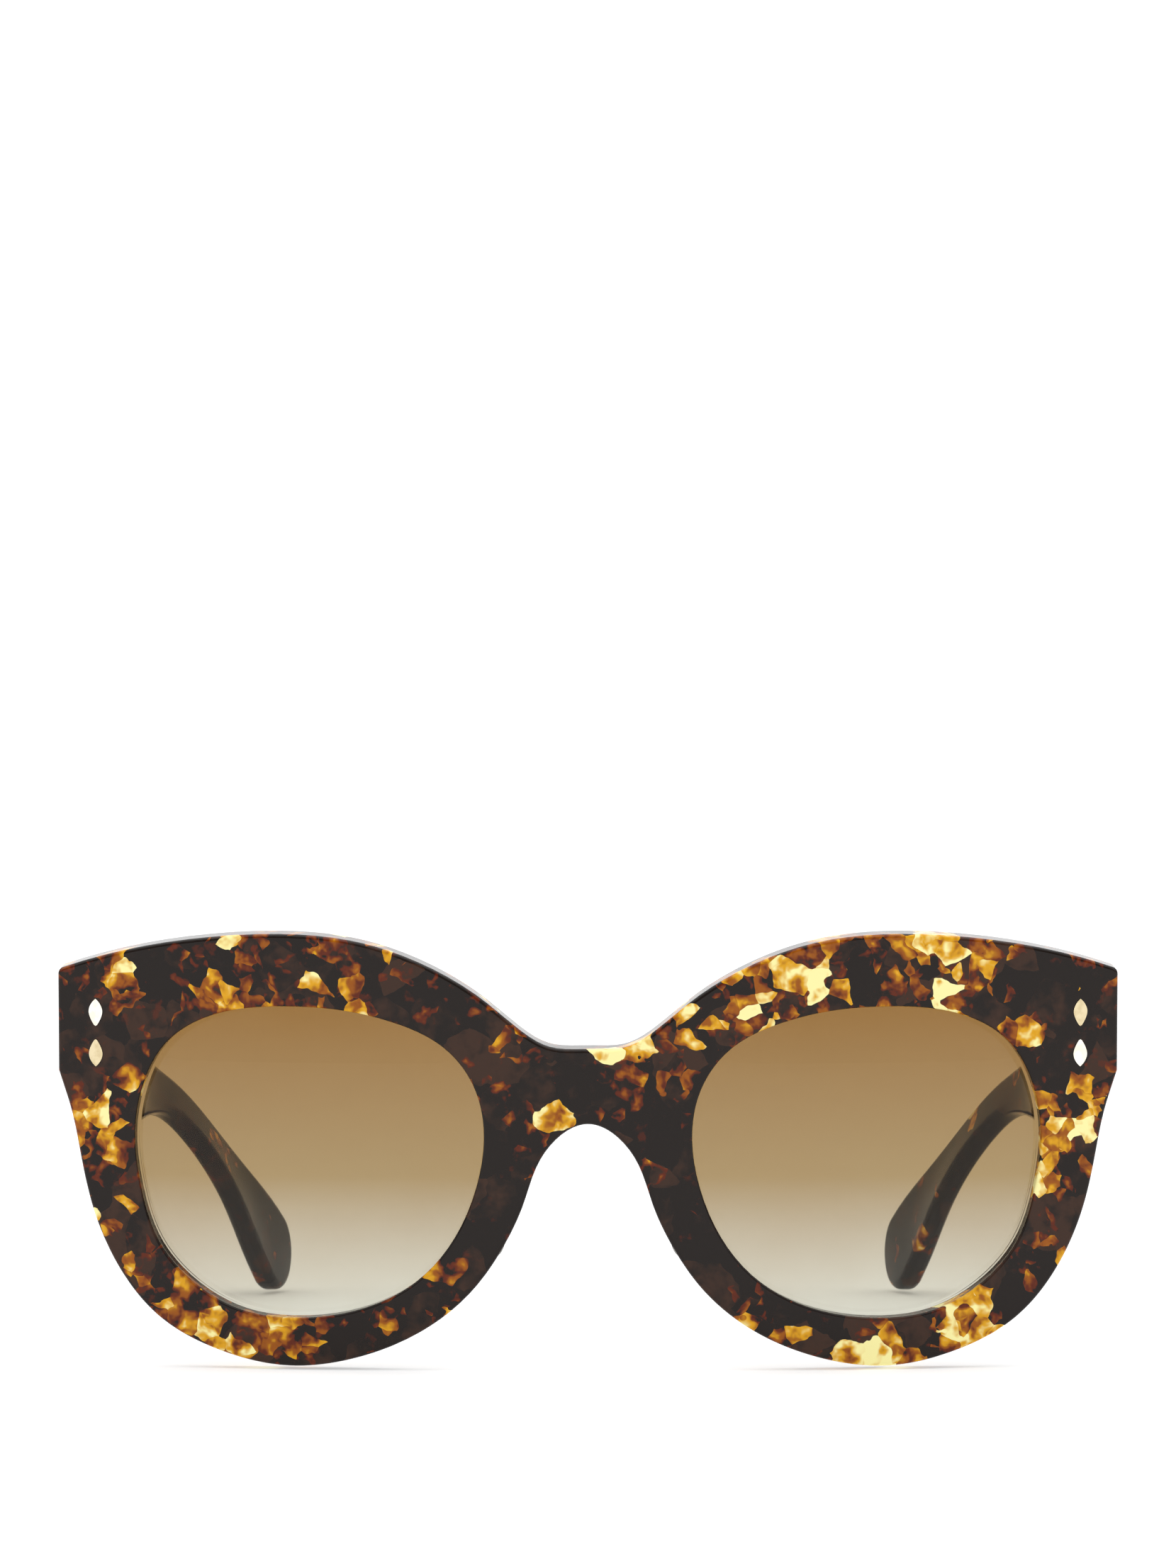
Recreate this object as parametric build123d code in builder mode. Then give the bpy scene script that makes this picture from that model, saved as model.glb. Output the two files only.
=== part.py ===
"""Cat eye sunglasses with open temples, standing on their rims and temple tips.

Millimetres. +Z is up, the front faces -Y and the wearer looks along -Y, so the wearer's left is +X.
The origin is on the table, in the middle of the footprint.
"""

from build123d import *
import os
from math import asin, cos, radians, sin, sqrt

# ---------------------------------------------------------------- driving dimensions
front_y = -64.9            # the rims stand on the table along this line
lean = 5.0                 # degrees that the front leans forward, top towards -Y
wrap_radius = 260.0        # the front is bent to this radius about its own upright
front_thickness = 5.0      # acetate sheet
outer_edge_round = 0.5     # polished outer edges of the front
opening_edge_round = 0.3   # and the edges round the lenses
corner_round = 1.0         # upper outer corners of the end pieces, in outline

rim_centre_u = 38.0        # middle of a lens opening, out from the nose
rim_centre_v = 27.9        # and up from the table
lens_radius = 130.0        # four dioptre base curve
lens_thickness = 1.9
lens_setback = 0.5         # lens vertex behind the face of the front
lens_seat_depth = 0.6      # how far the lens edge sits in the rim
lens_bevel = 0.9           # width of the bevel along the lens edge
seat_gap = 0.03            # assembly clearance between seated pieces

hinge_x = 67.6             # upright hinge axis
hinge_y = front_y + 9.0
hinge_z = 46.9             # middle of the barrel stack
barrel_radius = 1.2
barrel_height = 1.8
barrel_gap = 0.05          # each end of each barrel
screw_radius = 0.6
screw_clearance = 0.05
screw_head_radius = 1.1
screw_head_height = 0.7
leaf_thickness = 1.3
leaf_proud = 0.4           # how far a hinge leaf stands above the acetate
leaf_height = 9.8
leaf_corner = 1.0

rivet_u = 66.9
rivet_upper_v = 47.65
rivet_lower_v = 42.1
shield_half_height = 1.86
shield_depth = 0.6
shield_proud = 0.12
pin_radius = 0.55
# One side of a shield, point first.
shield_outline = [(0, shield_half_height), (0.66, 1.12), (0.97, 0.25), (0.72, -0.85), (0.2, -1.75)]

temple_leaf_x = 67.2       # inner face of the temple leaf
temple_leaf_start = 1.9    # behind the hinge axis
temple_leaf_length = 12.6
temple_leaf_height = 7.4
temple_leaf_z = 46.0
temple_leaf_thickness = 1.3
temple_rivet_radius = 0.6
temple_rivet_length = 3.2
temple_rivet_head_radius = 1.1
temple_rivet_head_height = 0.35
temple_rivet_places = [(5.5, 46.4), (12.0, 45.2)]  # behind the hinge axis, and height

butt_gap = 0.3             # temple end face to the back of the front, when open
notch_back = 2.05          # the barrel notch ends this far behind the hinge axis
notch_side = 1.9           # and this far outside it
temple_edge_round = 1.2
temple_tip_length = 6.5
core_wire_radius = 0.65
core_wire_gap = 0.02
core_wire_bend = 20.0
core_wire_lead = 13.0      # of wire ahead of the third temple section
core_wire_short = 5.0      # the wire stops this far before the last one

pad_u = 11.7               # nose pad base on the back of the rim
pad_v = 21.5
pad_slant = 112            # degrees, along the nasal side of the rim
pad_length = 15.0
pad_width = 4.2
pad_depth = 7.0            # behind the back of the rim
pad_flare = 3.2            # how far the pad leans outward at its back
pad_end_length = 12.5
pad_end_width = 3.0
pad_end_round = 1.0

# Outlines in the front's own plane: u out from the nose, v up from the table.
brow_line = [
    (0, 43.7), (5.2, 44.0), (9.5, 46.5), (14.3, 50.4), (21.5, 54.7), (31.0, 57.95),
    (40.6, 58.9), (50.3, 58.4), (60.0, 56.9), (66.2, 55.35), (72.1, 53.4),
]
rim_line = [
    (72.1, 39.5), (71.3, 37.1), (70.35, 34.0), (69.3, 28.9), (67.6, 21.2), (64.35, 13.5), (58.1, 5.97),
    (50.1, 1.85), (41.0, 0.0), (31.5, 1.25), (22.6, 5.0), (15.45, 10.9), (11.4, 16.75), (8.7, 22.56),
    (6.2, 29.0), (0, 33.47),
]
# Lens opening about its own middle: x out from the nose, y up.
opening_line = [
    (1.5, 21.2), (-6.0, 20.6), (-11.5, 19.3), (-18.8, 15.7), (-22.9, 10.0), (-24.0, 3.6), (-22.85, -3.5),
    (-19.6, -10.7), (-14.35, -16.4), (-7.6, -19.8), (1.6, -21.3), (9.2, -20.4), (15.8, -16.9),
    (20.6, -11.6), (23.4, -3.2), (24.05, 2.6), (22.85, 10.1), (19.45, 16.0), (13.65, 19.6),
]

# Temple sections from the hinge to the tip, each square to the temple's run:
# y behind the rims, x, z, pitch down, yaw in, lean in at the bottom (degrees), height, thickness.
temple_sections = [
    (0.0, 69.9, 48.6, 10.8, 1.5, 0, 13.3, 4.6),
    (12.0, 69.7, 46.3, 10.8, 1.5, 0, 13.2, 4.6),
    (40.0, 68.9, 41.0, 10.8, 1.8, 0, 13.0, 4.4),
    (70.0, 67.6, 35.3, 10.8, 2.5, 0, 12.6, 4.0),
    (84.0, 66.6, 33.8, 13, 6, 5, 8.9, 3.6),
    (94.0, 64.3, 32.2, 22, 16, 17, 6.8, 3.4),
    (104.0, 60.3, 27.3, 37, 22, 25, 7.4, 3.3),
    (113.5, 55.8, 19.7, 39, 21, 21, 8.9, 3.3),
    (122.0, 52.6, 13.0, 38, 18, 9, 10.8, 3.4),
    (130.0, 49.7, 6.4, 37, 16, 3, 12.4, 3.5),
]

# ---------------------------------------------------------------- planes
rim_sag = wrap_radius - sqrt(wrap_radius**2 - rim_centre_u**2)
sideways = Vector(1, 0, 0)
up_front = Vector(0, -sin(radians(lean)), cos(radians(lean)))
into_front = Vector(0, cos(radians(lean)), sin(radians(lean)))
front_plane = Plane(origin=(0, front_y, 0), x_dir=sideways, z_dir=-into_front)
plan_plane = Plane(origin=(0, front_y, 0), x_dir=sideways, z_dir=up_front)
wrap_centre = (0, wrap_radius - rim_sag)


def face_plane(u, v):
    """Plane that touches the face of the front at (u, v), looking forward, its x outward."""
    sag = wrap_radius - sqrt(wrap_radius**2 - u**2) - rim_sag
    turn = asin(u / wrap_radius)
    return Plane(
        origin=front_plane.from_local_coords((u, v, -sag)),
        x_dir=sideways * cos(turn) + into_front * sin(turn),
        z_dir=sideways * sin(turn) - into_front * cos(turn),
    )


lens_plane = face_plane(rim_centre_u, rim_centre_v)
sphere_centre = lens_plane.offset(-lens_setback - lens_radius)

back_radius = wrap_radius - front_thickness
leaf_turn = asin(hinge_x / back_radius)
leaf_u = 65.8
leaf_back = wrap_radius - sqrt(back_radius**2 - leaf_u**2) - rim_sag
leaf_seat = front_plane.from_local_coords((leaf_u, hinge_z - 1.0, -leaf_back))
leaf_plane = Plane(
    origin=(leaf_seat.X, leaf_seat.Y, hinge_z),
    x_dir=(cos(leaf_turn), sin(leaf_turn), 0),
    z_dir=(-sin(leaf_turn), cos(leaf_turn), 0),
)
axis_in_leaf = leaf_plane.to_local_coords(Vector(hinge_x, hinge_y, hinge_z))
leaf_inner = -2.9
leaf_outer = axis_in_leaf.X + 1.0
leaf_middle = (leaf_inner + leaf_outer) / 2


def subtract_pair(piece):
    """Cut a left-hand piece and its mirror image out of the part being built."""
    add(piece, mode=Mode.SUBTRACT)
    mirror(piece, about=Plane.YZ, mode=Mode.SUBTRACT)


def barrel_levels(first, count):
    """Middle heights of every second barrel, counted from the bottom of the stack."""
    bottom = hinge_z - 2.5 * barrel_height
    return [bottom + (first + 2 * step + 0.5) * barrel_height for step in range(count)]


def both_sides(points):
    """A line from the outside to the nose, carried on to its mirror image."""
    return points + [(-x, y) for x, y in reversed(points[:-1])]


# ---------------------------------------------------------------- lens
def lens_opening():
    """Straight-walled hole of one lens opening."""
    with BuildPart() as opening:
        with BuildSketch(lens_plane.offset(10)):
            with BuildLine():
                Spline(*opening_line, periodic=True)
            make_face()
        extrude(amount=-30)
    return opening.part


def grown_opening(growth):
    """Points of the opening's outline, moved outward square to it."""
    outline = Spline(*opening_line, periodic=True, mode=Mode.PRIVATE)
    places = [step / 28 for step in range(28)]
    return [outline @ place + (outline % place).rotate(Axis.Z, -90) * growth for place in places]


def lens_blank(allowance=0.0):
    """Spherical lens that stands out past the opening by its seat, with an allowance all round."""
    with BuildPart() as blank:
        with BuildSketch(lens_plane.offset(3)):
            with BuildLine():
                Spline(*grown_opening(lens_seat_depth + allowance), periodic=True)
            make_face()
        extrude(amount=-16)
        with Locations(sphere_centre):
            Sphere(lens_radius + allowance, rotation=(90, 0, 0), mode=Mode.INTERSECT)
            Sphere(lens_radius - lens_thickness - allowance, rotation=(90, 0, 0), mode=Mode.SUBTRACT)
        if not allowance:
            chamfer(blank.edges(), length=lens_bevel / 2, length2=lens_bevel)
    return blank.part


# ---------------------------------------------------------------- rivets and hinge leaves
def front_rivet(v, point_up, allowance=0.0):
    """Shield head let into the face of the front, with a pin through to the hinge leaf."""
    plane = face_plane(rivet_u, v)
    grow = 1 + allowance / shield_outline[2][0]
    flip = grow if point_up else -grow
    side = [(x * grow, y * flip) for x, y in shield_outline]
    with BuildPart() as rivet:
        with BuildSketch(plane.offset(shield_proud)):
            with BuildLine():
                Spline(*side)
                Line(side[-1], (0, -shield_half_height * flip))
                mirror(about=Plane.YZ)
            make_face()
        extrude(amount=-shield_depth - shield_proud - allowance)
        with BuildSketch(plane.offset(-shield_depth + 0.1)):
            Circle(pin_radius + allowance)
        extrude(amount=-front_thickness)
    return rivet.part


def leaf_plate(allowance=0.0):
    """Plate of the front hinge leaf, let into the back of the end piece."""
    with BuildPart() as plate:
        with BuildSketch(leaf_plane.offset(leaf_proud + allowance)):
            with Locations((leaf_middle, 0)):
                RectangleRounded(
                    leaf_outer - leaf_inner + 2 * allowance, leaf_height + 2 * allowance, leaf_corner
                )
        extrude(amount=-leaf_thickness - 2 * allowance)
    return plate.part


def hinge_bore():
    """Clearance hole of the screw through the barrel stack."""
    with BuildPart() as bore:
        with BuildSketch(Plane.XY.offset(hinge_z - 3 * barrel_height)):
            with Locations((hinge_x, hinge_y)):
                Circle(screw_radius + screw_clearance)
        extrude(amount=6 * barrel_height)
    return bore.part


def barrels(levels, web_plane, web_x, web_width, web_length):
    """Knuckles round the hinge axis, each on a web that runs to its leaf."""
    length = barrel_height - 2 * barrel_gap
    with BuildPart() as knuckles:
        for level in levels:
            with BuildSketch(Plane.XY.offset(level - length / 2)):
                with Locations((hinge_x, hinge_y)):
                    Circle(barrel_radius)
            extrude(amount=length)
            with BuildSketch(web_plane):
                with Locations((web_x, level - hinge_z)):
                    Rectangle(web_width, length)
            extrude(amount=web_length)
    return knuckles.part


def temple_leaf_plate(allowance=0.0):
    """Plate of the temple's hinge leaf, let into the inside of the temple."""
    with BuildPart() as plate:
        with BuildSketch(Plane.YZ.offset(temple_leaf_x - allowance)) as profile:
            with Locations((hinge_y + temple_leaf_start + temple_leaf_length / 2, temple_leaf_z)):
                Rectangle(temple_leaf_length + 2 * allowance, temple_leaf_height + 2 * allowance)
            fillet(profile.vertices().group_by(Axis.X)[-1], radius=leaf_corner)
        extrude(amount=temple_leaf_thickness + 2 * allowance)
    return plate.part


def temple_rivets(allowance=0.0):
    """Two pins through the temple leaf, their low heads inside."""
    places = [(hinge_y + back, z) for back, z in temple_rivet_places]
    with BuildPart() as pins:
        with BuildSketch(Plane.YZ.offset(temple_leaf_x - 0.1)):
            with Locations(*places):
                Circle(temple_rivet_radius + allowance)
        extrude(amount=temple_rivet_length + allowance)
        if not allowance:
            with BuildSketch(Plane.YZ.offset(temple_leaf_x)):
                with Locations(*places):
                    Circle(temple_rivet_head_radius)
            extrude(amount=-temple_rivet_head_height)
            fillet(pins.edges().group_by(Axis.X)[0], radius=0.8 * temple_rivet_head_height)
    return pins.part


# ---------------------------------------------------------------- temple
def section_plane(section, along=0.0):
    """Plane of one temple section: x outward through the thickness, y up the height."""
    y, x, z, pitch, yaw, tilt = section[:6]
    down, turn, roll = radians(pitch), radians(yaw), radians(tilt)
    run = Vector(-cos(down) * sin(turn), cos(down) * cos(turn), -sin(down))
    outward = Vector(cos(turn), sin(turn), 0)
    upward = outward.cross(run)
    place = Vector(x, front_y + y, z) + run * along
    return Plane(origin=place, x_dir=outward * cos(roll) - upward * sin(roll), z_dir=run * -1)


def temple_tip_waste():
    """What is cut away to round the end of the temple, seen from its side."""
    last = temple_sections[-1]
    end = section_plane(last)
    side = Plane(origin=end.origin, x_dir=end.z_dir * -1, z_dir=end.x_dir)
    with BuildPart() as waste:
        with BuildSketch(side.offset(-5)):
            with Locations((temple_tip_length, 0)):
                Rectangle(2 * temple_tip_length, last[6] + 4)
            Ellipse(temple_tip_length, last[6] / 2 + 0.02, mode=Mode.SUBTRACT)
        extrude(amount=10)
    return waste.part


def core_wire(allowance=0.0):
    """Stiffening wire down the middle of the temple, from behind the hinge to the paddle."""
    front_end = section_plane(temple_sections[2], -core_wire_lead - allowance)
    back_end = section_plane(temple_sections[-1], -core_wire_short + allowance)
    bends = [section_plane(section).origin for section in temple_sections[4:7]]
    with BuildPart() as wire:
        with BuildLine() as path:
            FilletPolyline(front_end.origin, *bends, back_end.origin, radius=core_wire_bend)
        with BuildSketch(path.line ^ 0):
            Circle(core_wire_radius + allowance)
        sweep()
    return wire.part


# ---------------------------------------------------------------- front
opening = lens_opening()
bore = hinge_bore()
upper_seat = front_rivet(rivet_upper_v, True, seat_gap)
lower_seat = front_rivet(rivet_lower_v, False, seat_gap)

with BuildPart() as front_frame:
    with BuildSketch(front_plane.offset(8)) as outline:
        with BuildLine():
            Spline(*both_sides(list(reversed(brow_line))))
            Spline(*both_sides(rim_line))
            Line(brow_line[-1], rim_line[0])
            Line((-brow_line[-1][0], brow_line[-1][1]), (-rim_line[0][0], rim_line[0][1]))
        make_face()
        fillet(outline.vertices().group_by(Axis.Y)[-1], radius=corner_round)
    extrude(amount=-30)
    with BuildSketch(plan_plane.offset(-5)):
        with Locations(wrap_centre):
            Circle(wrap_radius)
            Circle(back_radius, mode=Mode.SUBTRACT)
    extrude(amount=70, mode=Mode.INTERSECT)
    fillet(front_frame.faces().sort_by(SortBy.AREA)[-2:].edges(), radius=outer_edge_round)
    subtract_pair(opening)
    broad_faces = front_frame.faces().sort_by(SortBy.AREA)[-2:]
    opening_edges = [edge for face in broad_faces for wire in face.inner_wires() for edge in wire.edges()]
    fillet(opening_edges, radius=opening_edge_round)
    subtract_pair(lens_blank(seat_gap))
    subtract_pair(leaf_plate(seat_gap))
    subtract_pair(upper_seat)
    subtract_pair(lower_seat)

with BuildPart() as lens_left:
    add(lens_blank())

with BuildPart() as nose_pad_left:
    pad_base = face_plane(pad_u, pad_v)
    with BuildSketch(pad_base.offset(-front_thickness + 0.5)):
        SlotOverall(pad_length, pad_width, rotation=pad_slant)
    with BuildSketch(pad_base.offset(-front_thickness - 3.0)):
        with Locations((0.4 * pad_flare, 0)):
            SlotOverall(pad_length - 0.8, pad_width - 0.4, rotation=pad_slant)
    with BuildSketch(pad_base.offset(-front_thickness - pad_depth)):
        with Locations((pad_flare, 0)):
            SlotOverall(pad_end_length, pad_end_width, rotation=pad_slant)
    loft()
    fillet(nose_pad_left.faces().sort_by(Axis.Y)[-1].edges(), radius=pad_end_round)
    add(front_frame.part, mode=Mode.SUBTRACT)

with BuildPart() as front_rivet_upper_left:
    add(front_rivet(rivet_upper_v, True))

with BuildPart() as front_rivet_lower_left:
    add(front_rivet(rivet_lower_v, False))

# ---------------------------------------------------------------- hinge
with BuildPart() as hinge_front_leaf_left:
    add(leaf_plate())
    add(barrels(barrel_levels(0, 3), leaf_plane.offset(0.1), axis_in_leaf.X, 1.9, axis_in_leaf.Z - 0.1))
    add(bore, mode=Mode.SUBTRACT)
    add(upper_seat, mode=Mode.SUBTRACT)
    add(lower_seat, mode=Mode.SUBTRACT)

with BuildPart() as hinge_temple_leaf_left:
    web_start = Plane(origin=(temple_leaf_x, hinge_y, hinge_z), x_dir=(-1, 0, 0), z_dir=(0, 1, 0))
    add(temple_leaf_plate())
    add(barrels(
        barrel_levels(1, 2), web_start, -temple_leaf_thickness / 2, temple_leaf_thickness,
        temple_leaf_start + 1.0,
    ))
    add(bore, mode=Mode.SUBTRACT)
    add(temple_rivets(seat_gap), mode=Mode.SUBTRACT)

with BuildPart() as hinge_screw_left:
    stack_top = hinge_z + 2.5 * barrel_height
    with BuildSketch(Plane.XY.offset(hinge_z - 2.5 * barrel_height + 0.2)):
        with Locations((hinge_x, hinge_y)):
            Circle(screw_radius)
    extrude(amount=5 * barrel_height - 0.2)
    with BuildSketch(Plane.XY.offset(stack_top)):
        with Locations((hinge_x, hinge_y)):
            Circle(screw_head_radius)
    extrude(amount=screw_head_height)
    chamfer(hinge_screw_left.edges().group_by(Axis.Z)[-1], length=0.2)
    with BuildSketch(Plane.XY.offset(stack_top + screw_head_height - 0.35)):
        with Locations((hinge_x, hinge_y)):
            Rectangle(3 * screw_head_radius, 0.35, rotation=25)
    extrude(amount=1, mode=Mode.SUBTRACT)

# ---------------------------------------------------------------- temple pieces
with BuildPart() as temple_left:
    for section in temple_sections:
        with BuildSketch(section_plane(section)):
            Rectangle(section[7], section[6])
    with BuildSketch(section_plane(temple_sections[-1], temple_tip_length + 1)):
        Rectangle(temple_sections[-1][7], temple_sections[-1][6])
    loft()
    add(temple_tip_waste(), mode=Mode.SUBTRACT)
    fillet(temple_left.edges(), radius=temple_edge_round)
    with BuildSketch(plan_plane.offset(-10)):
        with Locations(wrap_centre):
            Circle(wrap_radius + 20)
            Circle(back_radius - butt_gap, mode=Mode.SUBTRACT)
    extrude(amount=80, mode=Mode.SUBTRACT)
    with BuildSketch(Plane.XY.offset(hinge_z - 15)):
        with Locations((hinge_x + notch_side, hinge_y + notch_back)):
            Rectangle(10, 20, align=(Align.MAX, Align.MAX))
    extrude(amount=30, mode=Mode.SUBTRACT)
    add(temple_leaf_plate(seat_gap), mode=Mode.SUBTRACT)
    add(temple_rivets(seat_gap), mode=Mode.SUBTRACT)
    add(core_wire(core_wire_gap), mode=Mode.SUBTRACT)

with BuildPart() as core_wire_left:
    add(core_wire())

with BuildPart() as temple_rivets_left:
    add(temple_rivets())

# ---------------------------------------------------------------- right-hand pieces
with BuildPart() as lens_right:
    mirror(lens_left.part, about=Plane.YZ)

with BuildPart() as nose_pad_right:
    mirror(nose_pad_left.part, about=Plane.YZ)

with BuildPart() as front_rivet_upper_right:
    mirror(front_rivet_upper_left.part, about=Plane.YZ)

with BuildPart() as front_rivet_lower_right:
    mirror(front_rivet_lower_left.part, about=Plane.YZ)

with BuildPart() as hinge_front_leaf_right:
    mirror(hinge_front_leaf_left.part, about=Plane.YZ)

with BuildPart() as hinge_temple_leaf_right:
    mirror(hinge_temple_leaf_left.part, about=Plane.YZ)

with BuildPart() as hinge_screw_right:
    mirror(hinge_screw_left.part, about=Plane.YZ)

with BuildPart() as temple_right:
    mirror(temple_left.part, about=Plane.YZ)

with BuildPart() as core_wire_right:
    mirror(core_wire_left.part, about=Plane.YZ)

with BuildPart() as temple_rivets_right:
    mirror(temple_rivets_left.part, about=Plane.YZ)

# ---------------------------------------------------------------- labels and export
os.makedirs("parts", exist_ok=True)

front_frame.part.label = "front_frame"
export_step(front_frame.part, "parts/front_frame.step")
lens_left.part.label = "lens_left"
export_step(lens_left.part, "parts/lens_left.step")
lens_right.part.label = "lens_right"
export_step(lens_right.part, "parts/lens_right.step")
nose_pad_left.part.label = "nose_pad_left"
export_step(nose_pad_left.part, "parts/nose_pad_left.step")
nose_pad_right.part.label = "nose_pad_right"
export_step(nose_pad_right.part, "parts/nose_pad_right.step")
front_rivet_upper_left.part.label = "front_rivet_upper_left"
export_step(front_rivet_upper_left.part, "parts/front_rivet_upper_left.step")
front_rivet_upper_right.part.label = "front_rivet_upper_right"
export_step(front_rivet_upper_right.part, "parts/front_rivet_upper_right.step")
front_rivet_lower_left.part.label = "front_rivet_lower_left"
export_step(front_rivet_lower_left.part, "parts/front_rivet_lower_left.step")
front_rivet_lower_right.part.label = "front_rivet_lower_right"
export_step(front_rivet_lower_right.part, "parts/front_rivet_lower_right.step")
hinge_front_leaf_left.part.label = "hinge_front_leaf_left"
export_step(hinge_front_leaf_left.part, "parts/hinge_front_leaf_left.step")
hinge_front_leaf_right.part.label = "hinge_front_leaf_right"
export_step(hinge_front_leaf_right.part, "parts/hinge_front_leaf_right.step")
hinge_temple_leaf_left.part.label = "hinge_temple_leaf_left"
export_step(hinge_temple_leaf_left.part, "parts/hinge_temple_leaf_left.step")
hinge_temple_leaf_right.part.label = "hinge_temple_leaf_right"
export_step(hinge_temple_leaf_right.part, "parts/hinge_temple_leaf_right.step")
hinge_screw_left.part.label = "hinge_screw_left"
export_step(hinge_screw_left.part, "parts/hinge_screw_left.step")
hinge_screw_right.part.label = "hinge_screw_right"
export_step(hinge_screw_right.part, "parts/hinge_screw_right.step")
temple_left.part.label = "temple_left"
export_step(temple_left.part, "parts/temple_left.step")
temple_right.part.label = "temple_right"
export_step(temple_right.part, "parts/temple_right.step")
core_wire_left.part.label = "core_wire_left"
export_step(core_wire_left.part, "parts/core_wire_left.step")
core_wire_right.part.label = "core_wire_right"
export_step(core_wire_right.part, "parts/core_wire_right.step")
temple_rivets_left.part.label = "temple_rivets_left"
export_step(temple_rivets_left.part, "parts/temple_rivets_left.step")
temple_rivets_right.part.label = "temple_rivets_right"
export_step(temple_rivets_right.part, "parts/temple_rivets_right.step")
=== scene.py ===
"""Looks of the cat eye sunglasses: materials, floor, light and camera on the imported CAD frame."""

import bpy
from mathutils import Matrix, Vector


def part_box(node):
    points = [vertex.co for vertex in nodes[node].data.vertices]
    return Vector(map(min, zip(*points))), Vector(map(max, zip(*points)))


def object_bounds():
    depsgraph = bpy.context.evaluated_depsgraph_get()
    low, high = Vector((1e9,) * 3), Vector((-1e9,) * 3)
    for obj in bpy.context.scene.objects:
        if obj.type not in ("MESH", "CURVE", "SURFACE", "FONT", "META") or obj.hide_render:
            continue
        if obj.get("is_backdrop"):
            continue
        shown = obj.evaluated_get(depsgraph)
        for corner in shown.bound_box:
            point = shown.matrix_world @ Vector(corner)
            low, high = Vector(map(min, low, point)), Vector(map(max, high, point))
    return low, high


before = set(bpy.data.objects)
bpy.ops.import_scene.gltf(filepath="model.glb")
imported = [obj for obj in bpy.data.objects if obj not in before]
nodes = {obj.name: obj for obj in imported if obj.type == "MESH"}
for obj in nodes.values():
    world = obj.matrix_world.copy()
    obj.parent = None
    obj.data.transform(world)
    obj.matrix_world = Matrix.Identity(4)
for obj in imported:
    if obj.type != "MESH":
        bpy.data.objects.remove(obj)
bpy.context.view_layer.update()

CAMERA_DISTANCE = 0.8533   # from the foremost point of the front
CAMERA_HEIGHT = 0.079
CAMERA_LENS = 145.6        # mm, on a 36 mm sensor along the picture's long side
ACETATE_INDEX = 1.48       # refractive index of the clear pads
GLOSS_INDEX = 1.55         # and of the polished tortoiseshell

# Side length of the tortoiseshell's cells in millimetres, and what the seed of each layer is moved by.
LARGE_FLAKE, SMALL_FLAKE, GHOST_FLAKE = 3.6, 2.2, 5.0
SMALL_SHIFT, GHOST_SHIFT = 40, 11


# ---------------------------------------------------------------- node helpers
class Graph:
    """A material's node tree, with short ways to add and join nodes."""

    def __init__(self, name):
        self.material = bpy.data.materials.new(name)
        self.material.use_nodes = True
        self.tree = self.material.node_tree
        self.tree.nodes.clear()
        self.output = self.tree.nodes.new("ShaderNodeOutputMaterial")

    def node(self, kind, settings=None, **inputs):
        made = self.tree.nodes.new("ShaderNode" + kind)
        for key, value in (settings or {}).items():
            setattr(made, key, value)
        for key, value in inputs.items():
            self.put(made.inputs[key.replace("_", " ")], value)
        return made

    def put(self, socket, value):
        if isinstance(value, bpy.types.NodeSocket):
            self.tree.links.new(value, socket)
        else:
            socket.default_value = value

    def math(self, operation, first, second=0.0):
        made = self.tree.nodes.new("ShaderNodeMath")
        made.operation = operation
        self.put(made.inputs[0], first)
        self.put(made.inputs[1], second)
        return made.outputs[0]

    def ramp(self, factor, low, high, to_low=0.0, to_high=1.0, smooth=True):
        made = self.tree.nodes.new("ShaderNodeMapRange")
        made.interpolation_type = "SMOOTHSTEP" if smooth else "LINEAR"
        self.put(made.inputs["Value"], factor)
        limits = {"From Min": low, "From Max": high, "To Min": to_low, "To Max": to_high}
        for name, value in limits.items():
            self.put(made.inputs[name], value)
        return made.outputs["Result"]

    def mix(self, factor, first, second):
        made = self.tree.nodes.new("ShaderNodeMix")
        made.data_type = "RGBA"
        self.put(made.inputs[0], factor)
        self.put(made.inputs[6], first)
        self.put(made.inputs[7], second)
        return made.outputs[2]

    def place(self, scale=1.0):
        """Position in millimetres in the frame, scaled."""
        coordinates = self.node("TexCoord").outputs["Object"]
        factor = 1000 * scale
        mapping = self.node("Mapping", {"vector_type": "POINT"}, Vector=coordinates)
        mapping.inputs["Scale"].default_value = (factor, factor, factor)
        return mapping.outputs["Vector"]

    def noise(self, vector, scale, detail=2.0, roughness=0.5):
        made = self.node("TexNoise", Vector=vector, Scale=scale, Detail=detail, Roughness=roughness)
        return made.outputs["Fac"], made.outputs["Color"]

    def warp(self, vector, scale, amount):
        """vector pushed about by noise, in the vector's own units."""
        push = self.node("VectorMath", {"operation": "SUBTRACT"})
        self.put(push.inputs[0], self.noise(vector, scale)[1])
        push.inputs[1].default_value = (0.5, 0.5, 0.5)
        sized = self.node("VectorMath", {"operation": "SCALE"})
        self.put(sized.inputs[0], push.outputs[0])
        sized.inputs["Scale"].default_value = amount
        moved = self.node("VectorMath", {"operation": "ADD"})
        self.put(moved.inputs[0], vector)
        self.put(moved.inputs[1], sized.outputs[0])
        return moved.outputs[0]

    def finish(self, shader):
        self.tree.links.new(shader, self.output.inputs["Surface"])
        return self.material


def linear(red, green, blue):
    """A display colour, 0 to 255, as a linear RGBA colour."""
    def channel(value):
        value /= 255
        return value / 12.92 if value <= 0.04045 else ((value + 0.055) / 1.055) ** 2.4
    return (channel(red), channel(green), channel(blue), 1)


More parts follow.
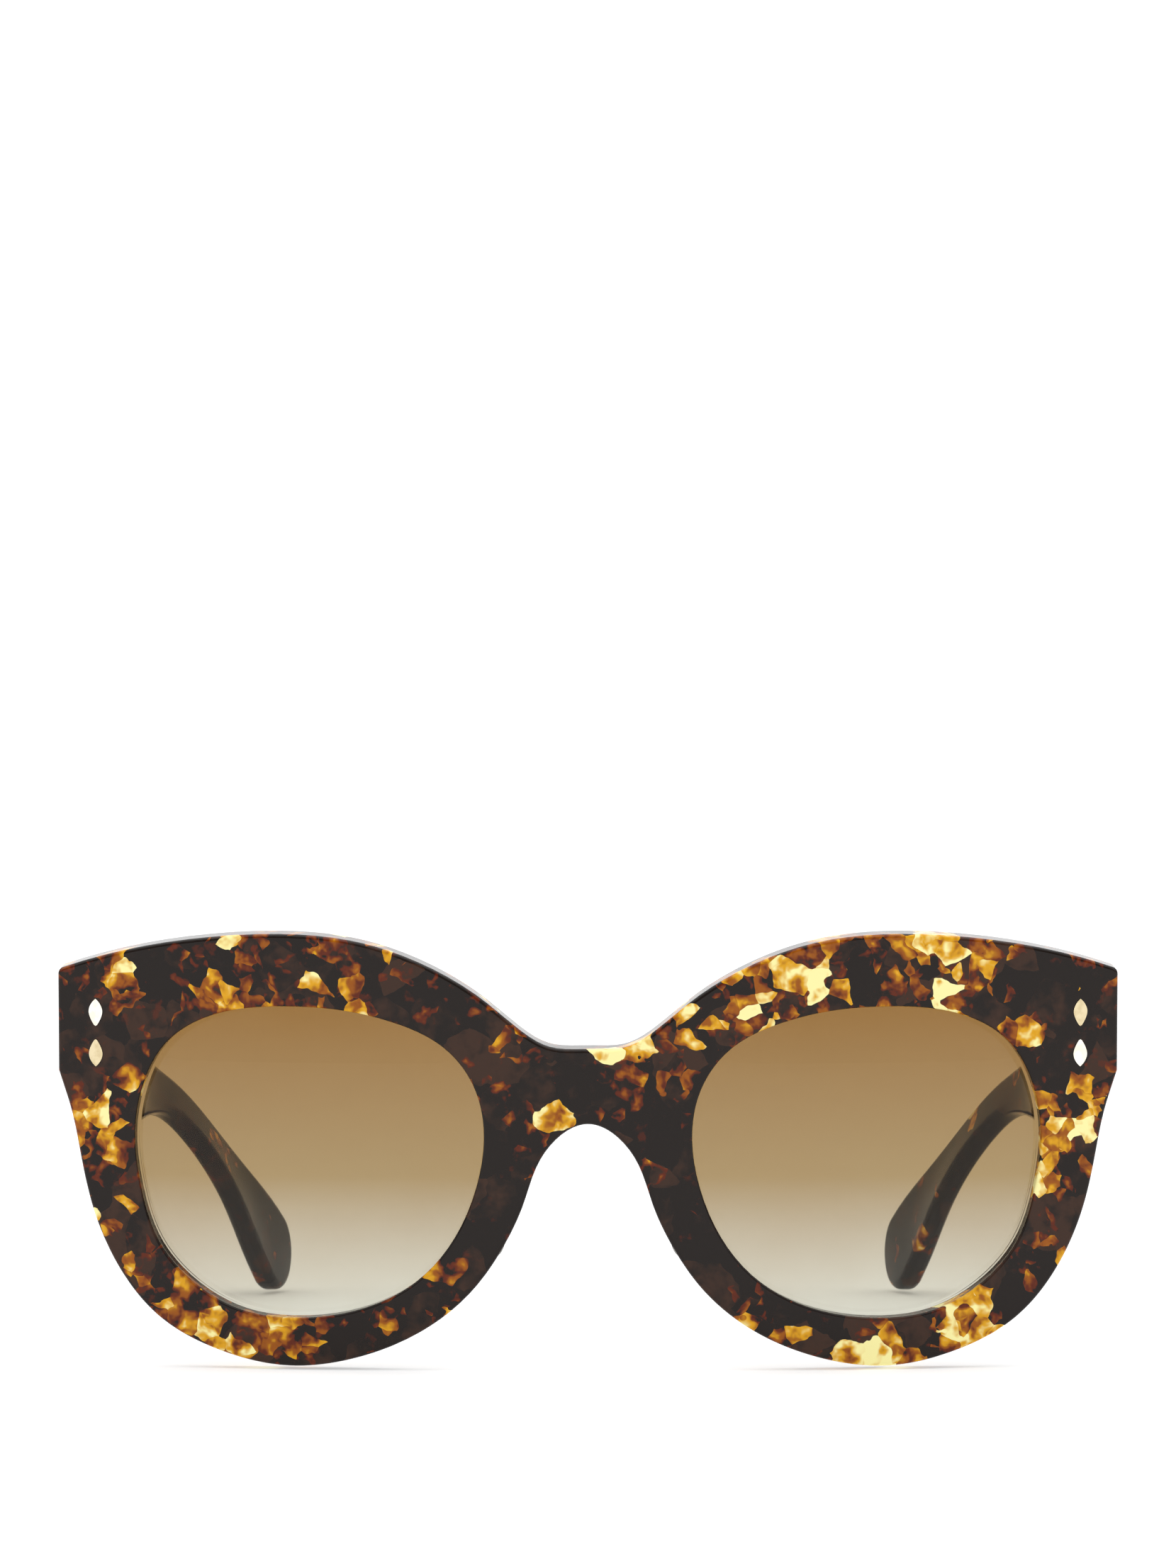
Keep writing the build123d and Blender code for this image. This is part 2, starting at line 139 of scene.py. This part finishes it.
# ---------------------------------------------------------------- tortoiseshell
DARK = linear(24, 15, 10)
BROWN = linear(62, 38, 25)
RUST = linear(92, 30, 3)
AMBER = linear(150, 80, 0)
GOLD = linear(218, 158, 12)
PALE = linear(250, 241, 168)
# Flake levels between which each colour comes in, from the rim of a flake to its core.
FLAKE_BANDS = (
    (-0.020, 0.005, RUST), (0.005, 0.050, AMBER), (0.050, 0.105, GOLD), (0.100, 0.170, PALE),
)


def flakes(graph, where, cell, seed, spread, inner):
    """Flake level: the same over each angular cell, from broad noise at the cell's middle and chance.

    inner sets how much the level still varies inside a flake.
    """
    shifted = graph.node("VectorMath", {"operation": "ADD"})
    graph.put(shifted.inputs[0], where)
    shifted.inputs[1].default_value = (seed, 2.3 * seed, -1.7 * seed)
    bent = graph.warp(shifted.outputs[0], 0.30, 2.2)
    cells = graph.node("TexVoronoi", {"feature": "F1"}, Vector=bent, Scale=1 / cell, Randomness=1.0)
    chance = graph.node("SeparateColor", Color=cells.outputs["Color"]).outputs[0]
    broad = graph.noise(cells.outputs["Position"], 0.12, 1.0)[0]
    smooth = graph.noise(bent, 0.42, 2.0)[0]
    jitter = graph.math("MULTIPLY", graph.math("SUBTRACT", chance, 0.5), spread)
    varied = graph.math("MULTIPLY", graph.math("SUBTRACT", smooth, 0.5), inner)
    clustered = graph.math("MULTIPLY", graph.math("SUBTRACT", broad, 0.5), 0.75)
    return graph.math("ADD", graph.math("ADD", clustered, jitter), varied)


def spot(graph, across, up, x, z, radius):
    """1 at (x, z) in millimetres, falling to 0 at the radius."""
    dx = graph.math("SUBTRACT", across, x)
    dz = graph.math("SUBTRACT", up, z)
    square = graph.math("ADD", graph.math("MULTIPLY", dx, dx), graph.math("MULTIPLY", dz, dz))
    return graph.ramp(graph.math("SQRT", square), 0.35 * radius, radius, 1.0, 0.0)


def tortoiseshell(name, bias, seed, places=(), tip_index=GLOSS_INDEX):
    """Near-black brown acetate with clusters of pale yellow flakes in amber and rust rims.

    A lower bias gives fewer flakes, and the seed picks another sheet.
    places lists (distance from the middle, height, radius, change) in millimetres, where the sheet has more
    or fewer flakes.
    tip_index is the refractive index towards the temple tips, set low where they should reflect little.
    """
    graph = Graph(name)
    mm = graph.place()
    parts = graph.node("SeparateXYZ", Vector=mm)
    across, up = graph.math("ABSOLUTE", parts.outputs["X"]), parts.outputs["Z"]
    large = graph.math("ADD", flakes(graph, mm, LARGE_FLAKE, seed, 0.28, 0.45), bias)
    small = flakes(graph, mm, SMALL_FLAKE, seed + SMALL_SHIFT, 0.26, 0.35)
    small = graph.math("ADD", small, bias - 0.01)
    level = graph.math("MAXIMUM", large, small)
    for x, z, radius, change in places:
        near = spot(graph, across, up, x, z, radius)
        level = graph.math("ADD", level, graph.math("MULTIPLY", near, change))
    shade = graph.noise(graph.warp(mm, 0.8, 0.8), 0.33, 3, 0.6)[0]
    ghost = flakes(graph, mm, GHOST_FLAKE, seed + GHOST_SHIFT, 0.45, 0.6)
    colour = graph.mix(graph.ramp(ghost, 0.0, 0.24, 0.0, 0.8), DARK, BROWN)
    colour = graph.mix(graph.ramp(shade, 0.62, 0.72, 0.0, 0.5), colour, RUST)
    for low, high, tone in FLAKE_BANDS:
        colour = graph.mix(graph.ramp(level, low, high), colour, tone)
    fine = graph.noise(mm, 4.0, 3)[0]
    polish = graph.node("Bump", Height=graph.noise(mm, 0.25, 1)[0], Strength=0.05, Distance=0.0003)
    shader = graph.node(
        "BsdfPrincipled", Base_Color=colour, Roughness=graph.ramp(fine, 0.3, 0.7, 0.07, 0.13),
        Normal=polish.outputs["Normal"],
    )
    shader.inputs["IOR"].default_value = GLOSS_INDEX
    if tip_index != GLOSS_INDEX:
        graph.put(shader.inputs["IOR"], graph.ramp(parts.outputs["Y"], -10, 35, GLOSS_INDEX, tip_index))
    shader.inputs["Specular IOR Level"].default_value = 0.2
    return graph.finish(shader.outputs[0])


# ---------------------------------------------------------------- lenses and pads
def with_clear_shadow(graph, body, tint):
    """body, but light passes straight through its tint on the way to a shadow."""
    through = graph.node("BsdfTransparent", Color=tint)
    blend = graph.node("MixShader")
    graph.put(blend.inputs[0], graph.node("LightPath").outputs["Is Shadow Ray"])
    graph.put(blend.inputs[1], body.outputs[0])
    graph.put(blend.inputs[2], through.outputs[0])
    return graph.finish(blend.outputs[0])


def gradient_lens():
    """Brown tint, deepest at the top of the lens and nearly clear at the bottom."""
    low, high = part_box("lens_left")
    graph = Graph("brown_gradient_lens")
    height = graph.node("SeparateXYZ", Vector=graph.node("TexCoord").outputs["Object"]).outputs["Z"]
    up = graph.ramp(height, low.z, high.z, smooth=False)
    ramp = graph.node("ValToRGB")
    graph.put(ramp.inputs["Fac"], up)
    stops = ramp.color_ramp.elements
    stops[0].position, stops[0].color = 0.0, linear(202, 202, 190)
    stops[1].position, stops[1].color = 1.0, linear(136, 99, 50)
    middle = stops.new(0.45)
    middle.color = linear(154, 132, 94)
    cloud = graph.noise(graph.place(), 0.06, 2)[0]
    tint = graph.mix(graph.ramp(cloud, 0.3, 0.7, 0.0, 0.10), ramp.outputs["Color"], linear(150, 120, 80))
    body = graph.node("BsdfPrincipled", Base_Color=tint, Roughness=0.02)
    body.inputs["Transmission Weight"].default_value = 1.0
    body.inputs["IOR"].default_value = 1.3
    return with_clear_shadow(graph, body, tint)


def clear_acetate():
    """Polished clear acetate of the nose pads, faintly hazy."""
    graph = Graph("clear_acetate")
    haze = graph.noise(graph.place(), 0.8, 2)[0]
    tint = graph.mix(graph.ramp(haze, 0.3, 0.7), linear(250, 248, 240), linear(240, 236, 222))
    body = graph.node("BsdfPrincipled", Base_Color=tint, Roughness=graph.ramp(haze, 0.3, 0.7, 0.03, 0.08))
    body.inputs["Transmission Weight"].default_value = 1.0
    body.inputs["IOR"].default_value = ACETATE_INDEX
    return with_clear_shadow(graph, body, tint)


# ---------------------------------------------------------------- metals
def metal(name, colour, dull, roughness, grain, stretch):
    """Metal with fine tool marks and slightly dull patches."""
    graph = Graph(name)
    mapping = graph.node("Mapping", Vector=graph.node("TexCoord").outputs["Object"])
    mapping.inputs["Scale"].default_value = [1000 * value for value in stretch]
    marks = graph.noise(mapping.outputs["Vector"], grain, 4, 0.65)[0]
    patches = graph.noise(graph.place(), 0.9, 2)[0]
    tint = graph.mix(graph.ramp(patches, 0.35, 0.7), colour, dull)
    bump = graph.node("Bump", Height=marks, Strength=0.15, Distance=0.00004)
    shader = graph.node(
        "BsdfPrincipled", Base_Color=tint, Normal=bump.outputs["Normal"],
        Roughness=graph.ramp(marks, 0.2, 0.8, roughness, roughness + 0.1),
    )
    shader.inputs["Metallic"].default_value = 1.0
    return graph.finish(shader.outputs[0])


def dress(material, *names):
    """Give the named CAD nodes a material."""
    for name in names:
        mesh = nodes[name].data
        mesh.materials.clear()
        mesh.materials.append(material)


front_places = (
    (13, 22, 17, -0.12), (68, 46, 9, -0.08), (27, 4, 10, -0.03), (0, 38, 12, -0.04),
    (44, 55, 24, 0.025), (66, 26, 14, 0.03), (48, 3, 14, 0.02), (14, 40, 7, 0.03),
)
dress(tortoiseshell("tortoiseshell_front", -0.100, 4.0, front_places), "front_frame")
for number, side in enumerate(("left", "right")):
    seed = 31.0 + 17.0 * number
    dress(tortoiseshell("tortoiseshell_temple_" + side, -0.19, seed, tip_index=1.27), "temple_" + side)
lens = gradient_lens()
pad = clear_acetate()
polish_run = (1, 1, 0.2)
shield = metal("polished_shield", linear(250, 246, 236), linear(238, 230, 212), 0.10, 6.0, polish_run)
# Painted reflection: two of the four identical shields get a cream tint that stands in for a reflection of
# warm surroundings, not a colour of the metal.
painted_reflection_cream, dull_painted_reflection_cream = linear(222, 206, 168), linear(206, 188, 148)
shield_painted_warm_reflection = metal("polished_shield_painted_warm_reflection", painted_reflection_cream, dull_painted_reflection_cream, 0.12, 6.0, polish_run)
dress(shield, "front_rivet_upper_right", "front_rivet_lower_left")
dress(shield_painted_warm_reflection, "front_rivet_lower_right", "front_rivet_upper_left")
nickel = metal("nickel_silver", linear(222, 217, 205), linear(196, 190, 176), 0.24, 9.0, (0.2, 1, 1))
steel = metal("turned_steel", linear(228, 228, 226), linear(205, 204, 200), 0.18, 9.0, (1, 1, 0.3))
wire = metal("drawn_wire", linear(214, 212, 206), linear(188, 186, 180), 0.28, 9.0, (1, 0.1, 1))
for side in ("_left", "_right"):
    dress(lens, "lens" + side)
    dress(pad, "nose_pad" + side)
    dress(nickel, "hinge_front_leaf" + side, "hinge_temple_leaf" + side, "temple_rivets" + side)
    dress(steel, "hinge_screw" + side)
    dress(wire, "core_wire" + side)


# ---------------------------------------------------------------- studio
def white_paper():
    """Paper lit a little from below, so that shadows on it stay light."""
    graph = Graph("white_paper")
    tone = graph.noise(graph.place(0.05), 1.0, 2)[0]
    paper = graph.mix(graph.ramp(tone, 0.3, 0.7), (0.60, 0.60, 0.60, 1), (0.59, 0.59, 0.59, 1))
    shader = graph.node("BsdfPrincipled", Base_Color=paper, Roughness=0.9)
    shader.inputs["Specular IOR Level"].default_value = 0.0
    shader.inputs["Emission Color"].default_value = (1, 1, 1, 1)
    shader.inputs["Emission Strength"].default_value = 0.47
    return graph.finish(shader.outputs[0])


def sheet(name, profile, width, paper):
    """Stage piece that follows profile, a list of (y, z) with z above the table, across a width."""
    corners = [(side * width / 2, y, z) for y, z in profile for side in (-1, 1)]
    faces = [(2 * i, 2 * i + 1, 2 * i + 3, 2 * i + 2) for i in range(len(profile) - 1)]
    mesh = bpy.data.meshes.new(name)
    mesh.from_pydata(corners, [], faces)
    for polygon in mesh.polygons:
        polygon.use_smooth = True
    mesh.materials.append(paper)
    made = bpy.data.objects.new(name, mesh)
    made.location.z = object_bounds()[0].z
    bpy.context.scene.collection.objects.link(made)
    made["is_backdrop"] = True


def table_and_backdrop():
    """A wide table, and a strip of the same paper that rises slowly behind the glasses."""
    paper = white_paper()
    rise_start, rise_end, steps = 0.2, 3.6, 48
    places = [rise_start + (rise_end - rise_start) * step / steps for step in range(steps + 1)]
    sheet("table", [(-4.0, -0.0005), (4.0, -0.0005)], 8.0, paper)
    sheet("backdrop", [(y, 0.24 * (y - rise_start) ** 2 - 0.0006) for y in places], 1.8, paper)


def softbox(name, place, size, power):
    """Square light that faces the glasses."""
    light = bpy.data.lights.new(name, "AREA")
    light.shape = "SQUARE"
    light.size = size
    light.energy = power
    holder = bpy.data.objects.new(name, light)
    holder.location = place
    holder.rotation_euler = (-Vector(place)).to_track_quat("-Z", "Y").to_euler()
    bpy.context.scene.collection.objects.link(holder)


def world_light(horizon, sides, overhead):
    """White surround: as bright as the table at the horizon, dimmer above it, brightest overhead.

    horizon, sides and overhead are its strengths in those directions.
    """
    world = bpy.data.worlds.new("studio")
    world.use_nodes = True
    tree = world.node_tree
    direction = tree.nodes.new("ShaderNodeTexCoord").outputs["Generated"]
    split = tree.nodes.new("ShaderNodeSeparateXYZ")
    tree.links.new(direction, split.inputs[0])

    def blend(source, low, high, first, second):
        ramp = tree.nodes.new("ShaderNodeMapRange")
        ramp.interpolation_type = "SMOOTHSTEP"
        tree.links.new(source, ramp.inputs["Value"])
        limits = {"From Min": low, "From Max": high, "To Min": first, "To Max": second}
        for name, value in limits.items():
            if isinstance(value, bpy.types.NodeSocket):
                tree.links.new(value, ramp.inputs[name])
            else:
                ramp.inputs[name].default_value = value
        return ramp.outputs["Result"]

    level = blend(split.outputs["Z"], 0.0, 0.22, horizon, sides)
    level = blend(split.outputs["Z"], 0.40, 0.90, level, overhead)
    background = tree.nodes["Background"]
    background.inputs["Color"].default_value = (1, 1, 1, 1)
    tree.links.new(level, background.inputs["Strength"])
    bpy.context.scene.world = world


def camera():
    """Level camera in front of the glasses."""
    low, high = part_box("front_frame")
    data = bpy.data.cameras.new("camera")
    data.lens = CAMERA_LENS
    data.sensor_width = 36
    data.clip_start, data.clip_end = 0.01, 50
    holder = bpy.data.objects.new("camera", data)
    holder.location = ((low.x + high.x) / 2, low.y - CAMERA_DISTANCE, CAMERA_HEIGHT)
    holder.rotation_euler = Vector((0, 1, 0)).to_track_quat("-Z", "Y").to_euler()
    bpy.context.scene.collection.objects.link(holder)
    bpy.context.scene.camera = holder


table_and_backdrop()
world_light(1.0, 0.35, 1.7)
softbox("overhead", (0, 0.1, 1.6), 1.8, 6)
softbox("left_fill", (-1.5, -0.5, 0.9), 0.8, 3)
softbox("right_fill", (1.5, -0.5, 0.9), 0.8, 3)
camera()
bpy.context.scene.view_settings.view_transform = "Standard"
